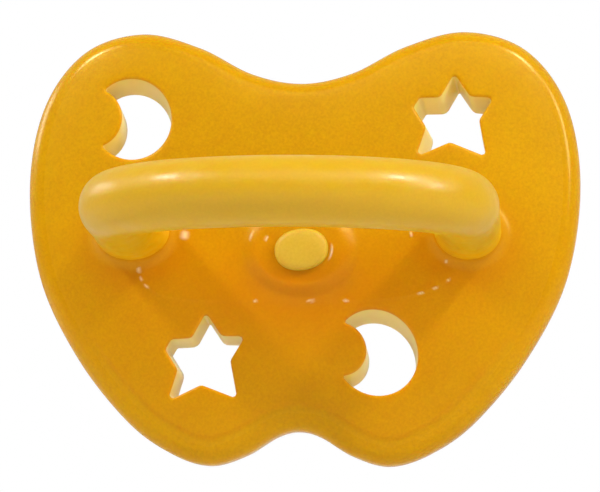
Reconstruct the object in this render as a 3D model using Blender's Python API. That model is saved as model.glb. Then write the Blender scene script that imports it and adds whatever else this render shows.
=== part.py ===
"""Natural-rubber pacifier with a butterfly shield, a ring handle and a hollow teat.

Lengths are in millimetres and are turned into metres where a mesh is made.
The frame's origin is the centre of the plug's flat front face. +X is to the right as the
handle is seen from the front, +Y runs through the shield to the teat's tip, and +Z is up.
"""
import math

import bmesh
import bpy
from mathutils import Vector

MM = 0.001
RUBBING_GAP = 0.3            # play between two pieces that touch on the real object
SIDES = 32                   # facets round a turned piece
CUTTER_FRONT_Y = -2.0        # cutters reach from here, well before the plate,
CUTTER_BACK_Y = 12.0         # to here, well behind it
DRUM_TURN = 0.37             # of a facet

# Shield: a plate with butterfly outline, bowed so that its edges lie further back.
SHIELD_FRONT_Y = 1.6         # front face of the plate on the teat's axis
SHIELD_THICKNESS = 3.8
BOW_RADIUS_X = 90.0          # bow seen from above
BOW_RADIUS_Z = 150.0         # bow seen from the side
FRONT_RIM_RADIUS = 1.2
BACK_RIM_RADIUS = 1.0
RIM_STEPS = 3
INNER_RINGS = (0.3, 0.65)    # the plate's faces have rings at these shares of the outline
OUTLINE_SPAN_POINTS = 4      # outline points made for each guide point
SHIELD_GUIDES = (            # right half from the top notch to the bottom notch, (x, z)
    (0.0, 16.0), (4.7, 17.0), (9.7, 19.7), (15.3, 21.3), (20.9, 19.75), (24.7, 14.7),
    (26.0, 7.0), (24.7, -2.0), (20.9, -9.6), (16.1, -15.5), (12.0, -18.45), (8.3, -19.6),
    (4.9, -18.7), (2.0, -17.0), (0.0, -16.5),
)

# Vent holes: each narrows towards the back of the plate and leans its own way, in x and z.
VENT_TAPER = 0.23
CRESCENT_RADIUS = 3.9
CRESCENT_HORN_BLUNTING = 4.0           # degrees of arc left off at each horn
CRESCENT_LONG_AXIS = math.radians(125.0)
CRESCENT_STRETCH = (1.03, 0.96)        # along its long axis and across it
CRESCENTS = {                          # centre, bite radius, bite's shift from the centre, lean
    "upper": ((-15.95, 12.75), 2.85, (-3.8, 0.17), (-0.13, -0.7)),
    "lower": ((7.1, -9.35), 2.42, (-3.3, 0.2), (-0.08, -0.76)),
}
STARS = {                              # centre, lean
    "upper": ((14.05, 12.6), (0.5, -0.8)),
    "lower": ((-8.7, -10.05), (0.07, -0.31)),
}
TIP = 0.3                              # rounding of a star's tips
NOTCH = 0.6                            # and of its notches
STAR_CORNERS = (                       # radius, angle and rounding; the arm on the left ends blunt
    (4.35, 88.0, TIP), (2.3, 120.0, NOTCH), (3.6, 148.0, TIP), (3.75, 165.0, TIP),
    (2.6, 200.0, NOTCH), (5.05, 228.0, TIP), (2.3, 264.0, NOTCH), (4.75, 311.0, TIP),
    (2.45, 358.0, NOTCH), (4.35, 29.0, TIP), (2.7, 53.0, NOTCH),
)

# Handle: a ring whose straight legs enter the shield on each side of the plug.
HANDLE_TUBE_RADIUS = 3.0
HANDLE_Z = 1.75
HANDLE_HINGE_Y = -0.9        # where the legs bend
ROOT_X = 15.5
HANDLE_HALF_WIDTH = 15.25    # to the middle of the tube
LEG_END_Y = -11.6            # the legs turn into the bow here
HANDLE_FRONT_Y = -20.0
HANDLE_TUBE_SIDES = 16
LEG_SPANS = 3
BOW_SPANS = 20
ROOT_SIDES = 24
ROOT_RADIUS = 4.2
ROOT_RIM_BACK = 1.8          # the root's rim lies this far behind the hinge line
ROOT_SEAT_RADIUS = HANDLE_TUBE_RADIUS + RUBBING_GAP
ROOT_FOOT_Y = 5.2
ROOT_BEVEL = 0.35            # at the root's rim

# Teat: a bonded base, a round neck that rocks at both ends, and a flattened bulb.
NECK_RADIUS = 4.4
NECK_BORE_RADIUS = 2.9
NECK_SEAT_RADIUS = NECK_RADIUS + RUBBING_GAP
NECK_RIM_BACK = 1.6          # a seat's rim lies this far from its hinge line
CUP_RADIUS = 5.4
CUP_BORE_RADIUS = 2.6
NOD_Y = 10.0                 # hinge line of the neck in the base
SWAY_Y = 16.0                # hinge line of the bulb on the neck
BOSS_FRONT_Y = 0.8
BOSS_RADIUS = 4.6
FLANGE_RADIUS = 7.2
FLANGE_FRONT_Y = 4.6
FLANGE_BACK_Y = 6.3
FLANGE_BEVEL = 0.3
BOSS_EDGE = ((0.0, 0.9), (0.25, 0.3), (0.8, 0.0))      # behind the boss's front, inside its radius
CUP_FILLET = ((0.0, 0.9), (0.3, 0.35), (1.0, 0.0))     # behind the flange, outside the cup
CUP_TAPER = 0.1
THROAT_RUN = 0.8             # straight bore behind the bulb's seat
THROAT_Z = 0.2
TEAT_TIP_Y = 34.8
TEAT_TIP_Z = 2.6
TEAT_WALL = 1.5
BULB_STATIONS = (            # outside of the bulb: y, half width, half height, middle z
    (17.6, 5.4, 5.4, 0.0), (20.5, 6.1, 5.3, 0.2), (24.0, 7.3, 5.1, 0.8), (27.5, 7.6, 4.9, 1.5),
)
BULB_CAVITY_Y = 21.5         # the bulb's hollow starts behind this
DOME_STEPS = 4               # rings of the bulb's rounded end

# Plug: an oval button with a round shaft that closes the teat's mouth.
PLUG_HALF_WIDTH = 2.5
PLUG_HALF_HEIGHT = 2.05
PLUG_EDGE = 0.7
PLUG_HEAD_BACK_Y = 1.6
PLUG_SHAFT_RADIUS = 1.7
PLUG_SHAFT_BACK_Y = 5.0
PLUG_BEVEL = 0.4             # at the shaft's end
PLUG_BORE_RADIUS = PLUG_SHAFT_RADIUS + RUBBING_GAP

AMBER = (0.70, 0.33, 0.02, 1.0)
HONEY = (0.74, 0.42, 0.06, 1.0)


def clear_scene():
    for thing in list(bpy.data.objects):
        bpy.data.objects.remove(thing, do_unlink=True)


def rubber(name, colour, roughness):
    material = bpy.data.materials.new(name)
    material.use_nodes = True
    shader = material.node_tree.nodes["Principled BSDF"]
    shader.inputs["Base Color"].default_value = colour
    shader.inputs["Roughness"].default_value = roughness
    shader.inputs["Metallic"].default_value = 0.0
    return material


def add_piece(name, points, faces, material=None, origin=(0.0, 0.0, 0.0)):
    """Make one closed body from points in millimetres, with flat faces that point out."""
    origin = Vector(origin)
    mesh = bpy.data.meshes.new(name)
    mesh.from_pydata([(Vector(p) - origin) * MM for p in points], [], faces)
    shape = bmesh.new()
    shape.from_mesh(mesh)
    bmesh.ops.connect_verts_nonplanar(shape, angle_limit=math.radians(0.02), faces=shape.faces)
    bmesh.ops.recalc_face_normals(shape, faces=shape.faces)
    shape.to_mesh(mesh)
    shape.free()
    mesh.shade_smooth()
    mesh.set_sharp_from_angle(angle=math.radians(35.0))
    piece = bpy.data.objects.new(name, mesh)
    piece.location = origin * MM
    bpy.context.scene.collection.objects.link(piece)
    if material:
        mesh.materials.append(material)
    return piece


def attach(child, parent):
    """Parent a piece without moving it; every parent here is only shifted, never turned."""
    child.parent = parent
    child.location = child.location - parent.location


def hide_cutter(cutter):
    cutter.hide_render = True
    cutter.display_type = "WIRE"


def cut(piece, cutter):
    hide_cutter(cutter)
    boolean = piece.modifiers.new("cut " + cutter.name, "BOOLEAN")
    boolean.operation = "DIFFERENCE"
    boolean.solver = "EXACT"
    boolean.object = cutter


def bridge(first, second, count):
    """Quads between two rings of points, given the index of each ring's first point."""
    quads = []
    for i in range(count):
        j = (i + 1) % count
        quads.append((first + i, first + j, second + j, second + i))
    return quads


def loft(rings, start=None, end=None, closed=False):
    """Points and faces of a skin over rings, closed by end points or end caps."""
    count = len(rings[0])
    points = [p for ring in rings for p in ring]
    faces = []
    for k in range(len(rings) - 1):
        faces += bridge(k * count, (k + 1) * count, count)
    last = (len(rings) - 1) * count
    if closed:
        faces += bridge(last, 0, count)
        return points, faces
    for pole, ring in ((start, 0), (end, last)):
        if pole is None:
            faces.append(tuple(range(ring, ring + count)))
            continue
        points.append(pole)
        tip = len(points) - 1
        faces += [(ring + i, ring + (i + 1) % count, tip) for i in range(count)]
    return points, faces


def ring_y(y, half_width, half_height=None, x=0.0, z=0.0, sides=SIDES, offset=0.0):
    """An upright oval ring whose axis runs along Y; the offset turns it by a share of a facet."""
    half_height = half_width if half_height is None else half_height
    ring = []
    for i in range(sides):
        turn = 2.0 * math.pi * (i + offset) / sides
        ring.append((x + half_width * math.cos(turn), y, z + half_height * math.sin(turn)))
    return ring


def arc(centre, radius, start, stop, steps):
    """Points (a, b) on a circle, both ends included; angles in degrees."""
    points = []
    for i in range(steps + 1):
        turn = math.radians(start + (stop - start) * i / steps)
        points.append((centre[0] + radius * math.cos(turn), centre[1] + radius * math.sin(turn)))
    return points


def smooth(before, start, end, after, t):
    """A point on the Catmull-Rom curve from start to end."""
    value = []
    for a, b, c, d in zip(before, start, end, after):
        value.append(0.5 * (2 * b + (c - a) * t + (2 * a - 5 * b + 4 * c - d) * t ** 2
                            + (3 * b - a - 3 * c + d) * t ** 3))
    return tuple(value)


def closed_curve(guides, span_points):
    count = len(guides)
    curve = []
    for i in range(count):
        four = [guides[(i + k) % count] for k in (-1, 0, 1, 2)]
        curve += [smooth(*four, k / span_points) for k in range(span_points)]
    return curve


def open_curve(guides, span_points):
    last = len(guides) - 1
    curve = []
    for i in range(last):
        four = [guides[min(max(i + k, 0), last)] for k in (-1, 0, 1, 2)]
        curve += [smooth(*four, k / span_points) for k in range(span_points)]
    return curve + [guides[last]]


def inset(outline, distance):
    """Move each point of a clockwise outline (x, z) inwards by a distance."""
    count = len(outline)
    moved = []
    for i, (x, z) in enumerate(outline):
        ax, az = outline[i - 1]
        bx, bz = outline[(i + 1) % count]
        along = Vector((bx - ax, bz - az)).normalized()
        moved.append((x + along.y * distance, z - along.x * distance))
    return moved


def rounded(corners, radii, steps):
    """Round every corner of a polygon with an arc of its own radius."""
    count = len(corners)
    outline = []
    for i, (x, z) in enumerate(corners):
        corner = Vector((x, z))
        back = (Vector(corners[i - 1]) - corner).normalized()
        ahead = (Vector(corners[(i + 1) % count]) - corner).normalized()
        half = back.angle(ahead) / 2.0
        reach = radii[i] / math.tan(half)
        middle = corner + (back + ahead).normalized() * radii[i] / math.sin(half)
        first = corner + back * reach - middle
        last = corner + ahead * reach - middle
        for k in range(steps + 1):
            spoke = first.lerp(last, k / steps).normalized() * radii[i]
            outline.append(tuple(middle + spoke))
    return outline


def shield_outline():
    left = [(-x, z) for x, z in reversed(SHIELD_GUIDES[1:-1])]
    return closed_curve(list(SHIELD_GUIDES) + left, OUTLINE_SPAN_POINTS)


def front_y(x, z):
    return SHIELD_FRONT_Y + x * x / (2 * BOW_RADIUS_X) + z * z / (2 * BOW_RADIUS_Z)


def shield_ring(outline, depth, scale=1.0):
    """A ring on the plate, a depth behind its bowed front face."""
    return [(x * scale, front_y(x * scale, z * scale) + depth, z * scale) for x, z in outline]


def star_outline(centre, grow):
    corners = []
    for reach, angle, _ in STAR_CORNERS:
        turn = math.radians(angle)
        corners.append((centre[0] + (reach + grow) * math.cos(turn),
                        centre[1] + (reach + grow) * math.sin(turn)))
    return rounded(corners, [rounding for _, _, rounding in STAR_CORNERS], 2)


def crescent_outline(centre, grow, bite_radius, bite_shift):
    """A disc less a bite on its left, with blunt horns, a little longer one way than the other."""
    radius = CRESCENT_RADIUS + grow
    bite = bite_radius - grow
    shift = Vector(bite_shift)
    facing = math.degrees(math.atan2(shift.y, shift.x))
    apart = shift.length
    to_horn = (radius ** 2 + apart ** 2 - bite ** 2) / (2 * radius * apart)
    from_bite = (bite ** 2 + apart ** 2 - radius ** 2) / (2 * bite * apart)
    horn = math.degrees(math.acos(to_horn)) + CRESCENT_HORN_BLUNTING
    inner = math.degrees(math.acos(from_bite))
    outline = arc((0.0, 0.0), radius, facing + horn, facing + 360 - horn, 20)
    outline += arc(shift, bite, facing + 180 + inner, facing + 180 - inner, 8)
    long_axis = Vector((math.cos(CRESCENT_LONG_AXIS), math.sin(CRESCENT_LONG_AXIS)))
    cross_axis = Vector((long_axis.y, -long_axis.x))
    stretched = []
    for point in outline:
        along = long_axis.dot(Vector(point)) * CRESCENT_STRETCH[0]
        across = cross_axis.dot(Vector(point)) * CRESCENT_STRETCH[1]
        stretched.append(tuple(Vector(centre) + long_axis * along + cross_axis * across))
    return stretched


def vent_cutter(name, outline_function, centre, lean, *bite):
    """A tapering, leaning prism through the plate, at its stated size on the plate's front face."""
    face_y = front_y(*centre)
    rings = []
    for y in (CUTTER_FRONT_Y, CUTTER_BACK_Y):
        share = (y - face_y) / SHIELD_THICKNESS
        middle = (centre[0] + lean[0] * share, centre[1] + lean[1] * share)
        rings.append([(x, y, z) for x, z in outline_function(middle, -share * VENT_TAPER, *bite)])
    return add_piece(name, *loft(rings))


def drum(name, radius, front, back, x=0.0, z=0.0):
    """A plain round cutter along Y. It is turned so that no corner falls on the plate's own edges."""
    return add_piece(name, *loft([ring_y(y, radius, x=x, z=z, offset=DRUM_TURN) for y in (front, back)]))


def make_shield(material):
    outline = shield_outline()
    profile = [(FRONT_RIM_RADIUS + a, FRONT_RIM_RADIUS + b)
               for a, b in arc((0.0, 0.0), FRONT_RIM_RADIUS, 270, 180, RIM_STEPS)]
    back = SHIELD_THICKNESS - BACK_RIM_RADIUS
    profile += [(BACK_RIM_RADIUS + a, back + b)
                for a, b in arc((0.0, 0.0), BACK_RIM_RADIUS, 180, 90, RIM_STEPS)]
    rings = [shield_ring(inset(outline, inward), depth) for inward, depth in profile]
    front = [shield_ring(inset(outline, FRONT_RIM_RADIUS), 0.0, k) for k in INNER_RINGS]
    rear = [shield_ring(inset(outline, BACK_RIM_RADIUS), SHIELD_THICKNESS, k)
            for k in reversed(INNER_RINGS)]
    middle = (0.0, SHIELD_FRONT_Y, 0.0)
    middle_back = (0.0, SHIELD_FRONT_Y + SHIELD_THICKNESS, 0.0)
    shield = add_piece("shield", *loft(front + rings + rear, middle, middle_back), material)
    for place, (centre, *bite, lean) in CRESCENTS.items():
        cut(shield, vent_cutter("cutter_crescent_" + place, crescent_outline, centre, lean, *bite))
    for place, (centre, lean) in STARS.items():
        cut(shield, vent_cutter("cutter_star_" + place, star_outline, centre, lean))
    cut(shield, drum("cutter_mouth", BOSS_RADIUS + RUBBING_GAP, CUTTER_FRONT_Y, CUTTER_BACK_Y))
    cut(shield, drum("cutter_flange", FLANGE_RADIUS + RUBBING_GAP, FLANGE_FRONT_Y - RUBBING_GAP,
                     CUTTER_BACK_Y))
    for side, x in (("left", -ROOT_X), ("right", ROOT_X)):
        socket = drum("cutter_root_" + side, ROOT_RADIUS + RUBBING_GAP, CUTTER_FRONT_Y,
                      ROOT_FOOT_Y + RUBBING_GAP, x, HANDLE_Z)
        cut(shield, socket)
    return shield


def seat_profile(centre_y, radius, rim_back, bore_radius, side, steps=5):
    """Points (y, r) of a hollow seat from its rim down to the bore; side is +1 or -1 in Y."""
    rim = math.degrees(math.asin(rim_back / radius))
    floor = math.degrees(math.acos(bore_radius / radius)) if bore_radius else 90.0
    return [(centre_y + side * b, a) for a, b in arc((0.0, 0.0), radius, rim, floor, steps)]


def make_root(side, x, material):
    """The stub that the handle's leg bends on, with its foot sunk in the shield."""
    seat = seat_profile(HANDLE_HINGE_Y, ROOT_SEAT_RADIUS, ROOT_RIM_BACK, 0.0, 1.0)
    rim_y = HANDLE_HINGE_Y + ROOT_RIM_BACK
    outer = [(rim_y, ROOT_RADIUS - ROOT_BEVEL), (rim_y + ROOT_BEVEL, ROOT_RADIUS),
             (ROOT_FOOT_Y, ROOT_RADIUS)]
    profile = list(reversed(seat[:-1])) + outer
    rings = [ring_y(y, r, x=x, z=HANDLE_Z, sides=ROOT_SIDES) for y, r in profile]
    bottom_of_seat = (x, seat[-1][0], HANDLE_Z)
    return add_piece("handle_root_" + side, *loft(rings, bottom_of_seat), material)


def handle_path():
    """Middle of the handle's tube from the left leg round the bow to the right leg."""
    depth = LEG_END_Y - HANDLE_FRONT_Y
    leg = []
    for i in range(LEG_SPANS):
        t = i / LEG_SPANS
        leg.append((-ROOT_X + (ROOT_X - HANDLE_HALF_WIDTH) * t,
                    HANDLE_HINGE_Y + (LEG_END_Y - HANDLE_HINGE_Y) * t))
    bow = []
    for i in range(BOW_SPANS + 1):
        turn = math.pi * i / BOW_SPANS
        bow.append((-HANDLE_HALF_WIDTH * math.cos(turn), LEG_END_Y - depth * math.sin(turn)))
    return leg + bow + [(-x, y) for x, y in reversed(leg)]


def tube_ring(point, along, radius, shift=0.0):
    """A ring round the handle's path; along is the path's direction in the XY plane."""
    ring = []
    for i in range(HANDLE_TUBE_SIDES):
        turn = 2.0 * math.pi * i / HANDLE_TUBE_SIDES
        out = radius * math.cos(turn)
        ring.append((point[0] + along.x * shift - along.y * out,
                     point[1] + along.y * shift + along.x * out,
                     HANDLE_Z + radius * math.sin(turn)))
    return ring


def make_handle_arch(material):
    """The swept ring, with a ball at each end that rocks in its root's seat."""
    path = handle_path()
    rings = []
    for i, point in enumerate(path):
        before = Vector(path[max(i - 1, 0)])
        after = Vector(path[min(i + 1, len(path) - 1)])
        along = (after - before).normalized()
        if i == 0:
            along = Vector((0.0, -1.0))
        if i == len(path) - 1:
            along = Vector((0.0, 1.0))
        rings.append(tube_ring(point, along, HANDLE_TUBE_RADIUS))
    into_left = [tube_ring(path[0], Vector((0.0, -1.0)), r, -s)
                 for r, s in arc((0.0, 0.0), HANDLE_TUBE_RADIUS, 72, 18, 3)]
    into_right = [tube_ring(path[-1], Vector((0.0, 1.0)), r, s)
                  for r, s in arc((0.0, 0.0), HANDLE_TUBE_RADIUS, 18, 72, 3)]
    back_y = HANDLE_HINGE_Y + HANDLE_TUBE_RADIUS
    skin = loft(into_left + rings + into_right, (-ROOT_X, back_y, HANDLE_Z),
                (ROOT_X, back_y, HANDLE_Z))
    return add_piece("handle_arch", *skin, material, (0.0, HANDLE_HINGE_Y, HANDLE_Z))


def make_teat_base(material):
    """The teat's mouth: a boss through the shield, a bonded flange and the neck's seat."""
    rim_y = NOD_Y - NECK_RIM_BACK
    outside = [ring_y(BOSS_FRONT_Y + back, BOSS_RADIUS - inside) for back, inside in BOSS_EDGE]
    outside += [ring_y(FLANGE_FRONT_Y, BOSS_RADIUS), ring_y(FLANGE_FRONT_Y, FLANGE_RADIUS),
                ring_y(FLANGE_BACK_Y - FLANGE_BEVEL, FLANGE_RADIUS),
                ring_y(FLANGE_BACK_Y, FLANGE_RADIUS - FLANGE_BEVEL)]
    outside += [ring_y(FLANGE_BACK_Y + back, CUP_RADIUS + beyond) for back, beyond in CUP_FILLET]
    outside.append(ring_y(rim_y, CUP_RADIUS - CUP_TAPER))
    seat = seat_profile(NOD_Y, NECK_SEAT_RADIUS, NECK_RIM_BACK, CUP_BORE_RADIUS, -1.0)
    throat = [ring_y(y, r) for y, r in seat]
    throat += [ring_y(PLUG_SHAFT_BACK_Y + 2 * RUBBING_GAP, CUP_BORE_RADIUS),
               ring_y(PLUG_SHAFT_BACK_Y + RUBBING_GAP, PLUG_BORE_RADIUS)]
    pocket_y = PLUG_HEAD_BACK_Y + RUBBING_GAP
    pocket = (PLUG_HALF_WIDTH + RUBBING_GAP, PLUG_HALF_HEIGHT + RUBBING_GAP)
    mouth = [ring_y(pocket_y, PLUG_BORE_RADIUS), ring_y(pocket_y, *pocket),
             ring_y(BOSS_FRONT_Y, *pocket)]
    return add_piece("teat_base", *loft(outside + throat + mouth, closed=True), material)


def make_teat_plug(material):
    head = [ring_y(0.0, PLUG_HALF_WIDTH - PLUG_EDGE, PLUG_HALF_HEIGHT - PLUG_EDGE)]
    for a, b in arc((0.0, 0.0), PLUG_EDGE, 240, 180, 2):
        inward = PLUG_EDGE + a
        head.append(ring_y(PLUG_EDGE + b, PLUG_HALF_WIDTH - inward, PLUG_HALF_HEIGHT - inward))
    shaft = [ring_y(PLUG_HEAD_BACK_Y, PLUG_HALF_WIDTH, PLUG_HALF_HEIGHT),
             ring_y(PLUG_HEAD_BACK_Y, PLUG_SHAFT_RADIUS),
             ring_y(PLUG_SHAFT_BACK_Y - PLUG_BEVEL, PLUG_SHAFT_RADIUS),
             ring_y(PLUG_SHAFT_BACK_Y, PLUG_SHAFT_RADIUS - PLUG_BEVEL)]
    return add_piece("teat_plug", *loft(head + shaft), material)


def make_teat_neck(material):
    """A thick tube with a ball at each end and a bore right through."""
    ball = arc((0.0, 0.0), NECK_RADIUS, 0.0, math.degrees(math.acos(NECK_BORE_RADIUS / NECK_RADIUS)), 4)
    front = [ring_y(NOD_Y - b, a) for a, b in reversed(ball)]
    back = [ring_y(SWAY_Y + b, a) for a, b in ball]
    skin = loft(front + back, closed=True)
    return add_piece("teat_neck", *skin, material, (0.0, NOD_Y, 0.0))


def bulb_rings(stations, wall):
    """Rings of the bulb's skin, a wall's thickness inside its outer surface."""
    widest_y, half_width, half_height, middle_z = stations[-1]
    rings = [ring_y(y, w - wall, h - wall, z=z) for y, w, h, z in stations]
    for i in range(1, DOME_STEPS):
        turn = 0.5 * math.pi * i / DOME_STEPS
        rise = (TEAT_TIP_Z - middle_z) * math.sin(turn)
        rings.append(ring_y(widest_y + (TEAT_TIP_Y - wall - widest_y) * math.sin(turn),
                            (half_width - wall) * math.cos(turn),
                            (half_height - wall) * math.cos(turn), z=middle_z + rise))
    return rings


def make_teat_bulb(material):
    """The hollow, flattened bulb, open towards the neck through its seat."""
    stations = open_curve(list(BULB_STATIONS), 2)
    outside = bulb_rings(stations, 0.0)
    inside = bulb_rings([s for s in stations if s[0] > BULB_CAVITY_Y], TEAT_WALL)
    seat = seat_profile(SWAY_Y, NECK_SEAT_RADIUS, NECK_RIM_BACK, CUP_BORE_RADIUS, 1.0)
    throat = [ring_y(y, r) for y, r in seat]
    throat.append(ring_y(seat[-1][0] + THROAT_RUN, CUP_BORE_RADIUS, z=THROAT_Z))
    tip = (0.0, TEAT_TIP_Y, TEAT_TIP_Z)
    inner_tip = (0.0, TEAT_TIP_Y - TEAT_WALL, TEAT_TIP_Z)
    skin = loft(list(reversed(outside)) + throat + inside, tip, inner_tip)
    return add_piece("teat_bulb", *skin, material, (0.0, SWAY_Y, 0.0))


def main():
    clear_scene()
    shield = make_shield(rubber("shield_rubber", AMBER, 0.38))
    root_rubber = rubber("root_rubber", HONEY, 0.42)
    for side, x in (("left", -ROOT_X), ("right", ROOT_X)):
        attach(make_root(side, x, root_rubber), shield)
    attach(make_handle_arch(rubber("handle_rubber", HONEY, 0.42)), shield)
    attach(make_teat_plug(rubber("plug_rubber", HONEY, 0.40)), shield)
    base = make_teat_base(rubber("teat_base_rubber", AMBER, 0.38))
    attach(base, shield)
    neck = make_teat_neck(rubber("teat_neck_rubber", AMBER, 0.36))
    bulb = make_teat_bulb(rubber("teat_bulb_rubber", AMBER, 0.36))
    attach(bulb, neck)
    attach(neck, base)


main()
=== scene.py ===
"""Looks of a natural-rubber pacifier: fine surfaces and materials on the fixed CAD frame.

Lengths are in millimetres and are turned into metres where a mesh is made. The frame's
origin is the middle of the plug's front face; +Y runs through the shield to the teat's tip.
"""
import math

import bmesh
import bpy
import numpy as np
from mathutils import Matrix, Vector
from mathutils.geometry import delaunay_2d_cdt


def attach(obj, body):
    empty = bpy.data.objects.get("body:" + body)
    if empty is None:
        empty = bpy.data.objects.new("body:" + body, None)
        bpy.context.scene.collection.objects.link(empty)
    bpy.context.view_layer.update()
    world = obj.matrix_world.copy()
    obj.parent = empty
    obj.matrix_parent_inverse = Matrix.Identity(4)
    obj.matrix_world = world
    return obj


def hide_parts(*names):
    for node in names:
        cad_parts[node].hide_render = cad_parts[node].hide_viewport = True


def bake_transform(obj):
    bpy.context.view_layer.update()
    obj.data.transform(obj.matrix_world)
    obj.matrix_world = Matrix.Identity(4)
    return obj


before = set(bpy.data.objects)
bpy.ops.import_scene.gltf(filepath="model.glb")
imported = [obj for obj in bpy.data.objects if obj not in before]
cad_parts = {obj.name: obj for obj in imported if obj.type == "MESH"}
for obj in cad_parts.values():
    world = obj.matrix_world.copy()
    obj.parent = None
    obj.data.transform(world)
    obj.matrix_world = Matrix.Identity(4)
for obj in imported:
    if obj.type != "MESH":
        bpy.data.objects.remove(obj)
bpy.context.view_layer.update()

MM = 0.001

# Shield, as in the CAD model.
SHIELD_FRONT_Y = 1.6
SHIELD_THICKNESS = 3.8
BOW_RADIUS_X = 90.0
BOW_RADIUS_Z = 150.0
FRONT_RIM = 1.35             # rounding of the plate's front edge
BACK_RIM = 1.1
RIM_STEPS = 7
WALL_STEPS = 3
EDGE_ROLL_WIDTH = 4.5        # the face rolls back gently this far in from its edge
EDGE_ROLL_DEPTH = 0.22
CREASE_INSET = 2.35          # a soft step runs this far inside the lower edge
CREASE_WIDTH = 0.45
CREASE_DEPTH = 0.1
CREASE_FADE = (-6.0, -13.0)  # it fades in from the first height down to the second
CREASE_ROWS = (-0.4, -0.2, -0.07, 0.07, 0.2, 0.4)     # rows of points beside it
CREASE_SPACING = 0.3
CREASE_GAP = 0.55            # the face's plain grid keeps this far from it
CREASE_VENT_GAP = 0.9        # and its rows keep this far from the vents
OUTLINE_SPACING = 0.34
SHIELD_GUIDES = (
    (0.0, 16.0), (4.7, 17.0), (9.7, 19.7), (15.3, 21.3), (20.9, 19.75), (24.7, 14.7),
    (26.0, 7.0), (24.7, -2.0), (20.9, -9.6), (16.1, -15.5), (12.0, -18.45), (8.3, -19.6),
    (4.9, -18.7), (2.0, -17.0), (0.0, -16.5),
)
FRONT_GRID = 0.5             # spacing of the face's inner points
BACK_GRID = 0.9
GRID_CLEARANCE = 0.75        # of the spacing, kept from the outlines

# Vent holes.
VENT_RIM = 0.28
VENT_RIM_STEPS = 4
VENT_TAPER = 0.23            # each wall comes in by this much from front to back
VENT_SPACING = 0.25
CRESCENT_RADIUS = 3.9
CRESCENT_HORN = 0.15
CRESCENT_LONG_AXIS = math.radians(125.0)
CRESCENT_STRETCH = (1.03, 0.96)      # along its long axis and across it
CRESCENTS = (                # centre, bite radius, bite's shift, and the hole's lean in x and z
    ((-15.95, 12.75), 2.85, (-3.8, 0.17), (-0.13, -0.7)),
    ((7.1, -9.35), 2.42, (-3.3, 0.2), (-0.08, -0.76)),
)
STARS = (                    # centre and lean
    ((14.05, 12.6), (0.5, -0.8)),
    ((-8.7, -10.05), (0.07, -0.31)),
)
TIP = 0.3                    # rounding of a star's tips
NOTCH = 0.6                  # and of its notches
STAR_CORNERS = (             # radius, angle and rounding; the arm on the left ends blunt
    (4.35, 88.0, TIP), (2.3, 120.0, NOTCH), (3.6, 148.0, TIP), (3.75, 165.0, TIP),
    (2.6, 200.0, NOTCH), (5.05, 228.0, TIP), (2.3, 264.0, NOTCH), (4.75, 311.0, TIP),
    (2.45, 358.0, NOTCH), (4.35, 29.0, TIP), (2.7, 53.0, NOTCH),
)

# Collar round the plug, and the mould's fine oval seam. Radii are along X, heights towards -Y.
COLLAR_SHIFT_X = 0.15
COLLAR_SQUASH = 0.83         # height over width
BEAD_HEIGHT = 0.09           # short beads of bonding latex, their pale colour a painted glint: radius, angle, half angle, width
BEADS = (
    (2.93, -8.0, 17.0, 0.11), (3.25, 160.0, 5.0, 0.11), (4.7, 162.0, 6.0, 0.11),
    (10.9, 170.8, 2.6, 0.38), (10.3, 10.0, 1.6, 0.12), (13.4, -5.1, 0.8, 0.13),
)
BEAD_PATCH = 0.9             # a bead off the collar has fine points this far round it
COLLAR_HEIGHT = 0.85
COLLAR_EDGE_HEIGHT = 0.7
COLLAR_EDGE = (3.8, 5.5)     # the collar's rounded edge falls between these radii
COLLAR_FOOT_HEIGHT = 0.28
COLLAR_FOOT = 6.8
SEAM_MIDDLE_Z = 1.75
SEAM_HALF_WIDTH = 15.05
SEAM_HALF_HEIGHT = 6.5
SEAM_POWERS = (5.0, 3.4)     # how square its left and right sides are
SEAM_RIDGE = 0.09
SEAM_RIDGE_WIDTH = 0.1
SEAM_FAINT = 0.12            # the seam is worn to this share of its height, but for a few raised bits painted pale as glints
SEAM_STEP = 0.02             # the face inside the seam stands this much prouder
SEAM_STEP_WIDTH = 0.15
SEAM_ROWS = (-0.34, -0.17, -0.08, 0.0, 0.08, 0.17, 0.34)
SEAM_SPACING = 0.22
SEAM_GAP = 0.5               # the face's plain grid keeps this far from the seam
SEAM_GLINT_RIDGES = (              # raised bits painted pale as glints: angle round the seam's middle and half length, in degrees
    (-167.0, 0.9), (-163.6, 0.8), (-160.6, 1.0), (-121.5, 1.3), (-80.0, 3.6), (-56.0, 1.6),
    (-27.0, 0.9), (-22.5, 0.8), (-18.0, 0.7),
)

# Handle ring.
TUBE_RADIUS = 3.0
HANDLE_Z = 1.75
ROOT_X = 15.5
HANDLE_HALF_WIDTH = 15.25
LEG_END_Y = -11.6
HANDLE_FRONT_Y = -20.0
TUBE_SIDES = 56
LEG_HALF_WIDTHS = (3.5, 3.05)        # the left and right legs are this wide at the shield
LEG_HALF_HEIGHT = 2.6
LEG_FILLET = 1.1             # the shield's moulding rises to meet each leg
LEG_FILLET_RINGS = 12
LEG_SINK = 1.2
LEG_STEPS = 30
BOW_STEPS = 80
ROOT_TONE_AND_GLOW_FADE = (-8.0, 2.2) # the legs take on a shield-like tone between these two places in Y, painted brighter as a glow of light through the rubber
LEG_JOINT_FADE = (-1.0, 1.2) # their joint mark rises between these two
PLATE_JOINT_FADE = (0.2, 1.3)        # and the plate's falls off this far from a leg

# Plug: a low button; each step is a share of its size and its depth behind the front.
PLUG_HALF_WIDTH = 2.45
PLUG_HALF_HEIGHT = 1.9
PLUG_FULLNESS = 0.92
PLUG_TURN = math.radians(8.0)
PLUG_SHIFT = (0.3, -0.12)
PLUG_PROFILE = (
    (1.0, 1.7), (1.0, 0.62), (0.985, 0.44), (0.945, 0.28), (0.88, 0.17), (0.77, 0.09),
    (0.6, 0.045), (0.4, 0.02), (0.2, 0.005),
)

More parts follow.
